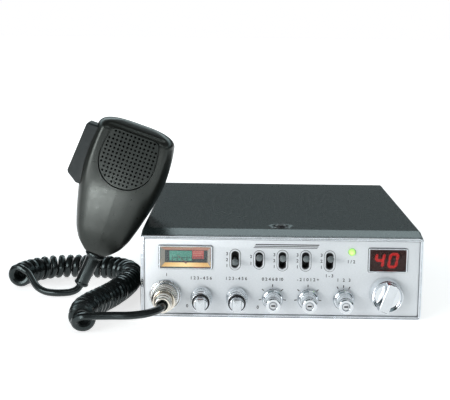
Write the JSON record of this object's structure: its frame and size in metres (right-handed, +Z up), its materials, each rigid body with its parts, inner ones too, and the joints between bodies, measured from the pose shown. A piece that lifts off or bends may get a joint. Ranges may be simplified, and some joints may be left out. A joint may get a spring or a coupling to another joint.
{
  "type": "mobile transceiver",
  "caption": "Mobile two-way radio with brushed panel, turning knobs, toggle switches, meter, channel display and a hand microphone on a curly cord.",
  "frame": {"origin": "middle of the flat underside of the case", "axes": "-Y is the front panel's side, +X the right side seen from the front, +Z up"},
  "size_m": [0.3146, 0.2996, 0.138],
  "materials": {
    "case_paint": "satin dark grey-green paint, fine grain",
    "plated_steel": "zinc-plated steel",
    "black_screw": "black oxide",
    "brushed_panel": "horizontally brushed, clear",
    "chrome": "bright plated",
    "black_plastic": "moulded black",
    "meter_glass": "clear",
    "meter_dial": "lit meter scale",
    "display_glass": "dark red filter",
    "display_digits": "seven-segment module",
    "lamp_green": "lit green lens",
    "circuit_board": "circuit board",
    "nickel": "nickel plate, warm",
    "aluminium": "plain",
    "cord_rubber": "semi-gloss black",
    "needle_red": "painted",
    "mic_plastic": "fine spark-eroded black",
    "grille_plastic": "matt black with pinholes",
    "grey_plastic": "moulded grey",
    "ptt_plastic": "slate grey moulding"
  },
  "bodies": {
    "root": {"top_cover": "case_paint", "bottom_cover": "case_paint", "chassis": "plated_steel", "cover_screw_top": "black_screw", "cover_screw_left_front": "black_screw", "cover_screw_left_rear": "black_screw", "cover_screw_right_front": "black_screw", "cover_screw_right_rear": "black_screw", "fascia_panel": "brushed_panel", "fascia_trim": "chrome", "meter_case": "black_plastic", "meter_window": "meter_glass", "meter_dial": "meter_dial", "display_case": "black_plastic", "display_window": "display_glass", "display_digits": "display_digits", "transmit_lamp": "lamp_green", "switch_board": "circuit_board", "volume_control": "plated_steel", "rf_gain_control": "plated_steel", "mic_gain_control": "plated_steel", "clarifier_control": "plated_steel", "dimmer_control": "plated_steel", "channel_switch": "plated_steel", "mic_socket": "nickel", "plug_body": "nickel", "main_board": "circuit_board", "speaker": "black_plastic", "heat_sink": "aluminium", "antenna_socket": "nickel", "power_socket": "black_plastic", "speaker_jacks": "black_plastic", "cord_plug_lead": "cord_rubber", "cord_curl": "cord_rubber", "cord_mic_lead": "cord_rubber"},
    "needle": {"meter_needle": "needle_red"},
    "plug_ring": {"plug_nut": "nickel"},
    "volume": {"volume_knob": "chrome"},
    "squelch": {"squelch_ring": "chrome"},
    "rf_gain": {"rf_gain_knob": "chrome"},
    "swr": {"swr_ring": "chrome"},
    "mic_gain": {"mic_gain_knob": "chrome"},
    "clarifier": {"clarifier_knob": "chrome"},
    "dimmer": {"dimmer_knob": "chrome"},
    "channel": {"channel_knob": "chrome"},
    "microphone": {"mic_front_shell": "mic_plastic", "mic_back_shell": "mic_plastic", "mic_grille": "grille_plastic", "mic_screw_left": "plated_steel", "mic_screw_right": "plated_steel", "mic_capsule": "aluminium", "ptt_switch": "grey_plastic", "hanger_button": "nickel", "mic_strain_relief": "cord_rubber"},
    "ptt": {"ptt_button": "ptt_plastic"},
    "lever_1": {"switch_lever_1": "grey_plastic"},
    "lever_2": {"switch_lever_2": "grey_plastic"},
    "lever_3": {"switch_lever_3": "grey_plastic"},
    "lever_4": {"switch_lever_4": "grey_plastic"},
    "lever_5": {"switch_lever_5": "grey_plastic"}
  },
  "joints": [
    {"name": "volume_turn", "type": "hinge", "parent": "root", "child": "volume", "pos_m": [-0.0565, -0.1275, 0.015], "axis": [0, 1, 0], "range_deg": [-150, 150]},
    {"name": "squelch_turn", "type": "hinge", "parent": "root", "child": "squelch", "pos_m": [-0.0565, -0.1275, 0.015], "axis": [0, 1, 0], "range_deg": [-150, 150]},
    {"name": "rf_gain_turn", "type": "hinge", "parent": "root", "child": "rf_gain", "pos_m": [-0.0313, -0.1275, 0.015], "axis": [0, 1, 0], "range_deg": [-150, 150]},
    {"name": "swr_turn", "type": "hinge", "parent": "root", "child": "swr", "pos_m": [-0.0313, -0.1275, 0.015], "axis": [0, 1, 0], "range_deg": [-150, 150]},
    {"name": "mic_gain_turn", "type": "hinge", "parent": "root", "child": "mic_gain", "pos_m": [-0.0061, -0.1275, 0.015], "axis": [0, 1, 0], "range_deg": [-150, 150]},
    {"name": "clarifier_turn", "type": "hinge", "parent": "root", "child": "clarifier", "pos_m": [0.0191, -0.1275, 0.015], "axis": [0, 1, 0], "range_deg": [-150, 150]},
    {"name": "dimmer_turn", "type": "hinge", "parent": "root", "child": "dimmer", "pos_m": [0.0443, -0.1275, 0.015], "axis": [0, 1, 0], "range_deg": [-35, 35]},
    {"name": "channel_turn", "type": "hinge", "parent": "root", "child": "channel", "pos_m": [0.0743, -0.1255, 0.019], "axis": [0, 1, 0], "continuous": true},
    {"name": "switch_1_flip", "type": "hinge", "parent": "root", "child": "lever_1", "pos_m": [-0.0329, -0.113, 0.0424], "axis": [1, 0, 0], "range_deg": [-14, 14]},
    {"name": "switch_2_flip", "type": "hinge", "parent": "root", "child": "lever_2", "pos_m": [-0.0159, -0.113, 0.0424], "axis": [1, 0, 0], "range_deg": [0, 28]},
    {"name": "switch_3_flip", "type": "hinge", "parent": "root", "child": "lever_3", "pos_m": [0.0006, -0.113, 0.0421], "axis": [1, 0, 0], "range_deg": [0, 28]},
    {"name": "switch_4_flip", "type": "hinge", "parent": "root", "child": "lever_4", "pos_m": [0.017, -0.113, 0.0421], "axis": [1, 0, 0], "range_deg": [0, 28]},
    {"name": "switch_5_flip", "type": "hinge", "parent": "root", "child": "lever_5", "pos_m": [0.034, -0.113, 0.0421], "axis": [1, 0, 0], "range_deg": [0, 28]},
    {"name": "meter_swing", "type": "hinge", "parent": "root", "child": "needle", "pos_m": [-0.06805, -0.1116, 0.0395], "axis": [0, 1, 0], "range_deg": [0, 100], "stiffness_Nm_per_rad": 0.00002, "springref_deg": -17.19},
    {"name": "plug_nut_turn", "type": "hinge", "parent": "root", "child": "plug_ring", "pos_m": [-0.0823, -0.1275, 0.0161], "axis": [0, 1, 0], "continuous": true},
    {"name": "mic_lift", "type": "slide", "parent": "root", "child": "microphone", "axis": [0, 0, 1], "range_m": [0, 0.1]},
    {"name": "ptt_press", "type": "slide", "parent": "microphone", "child": "ptt", "axis": [0.9441, 0.0262, -0.3288], "range_m": [0, 0.003], "stiffness_N_per_m": 600, "springref_m": -0.002}
  ]
}
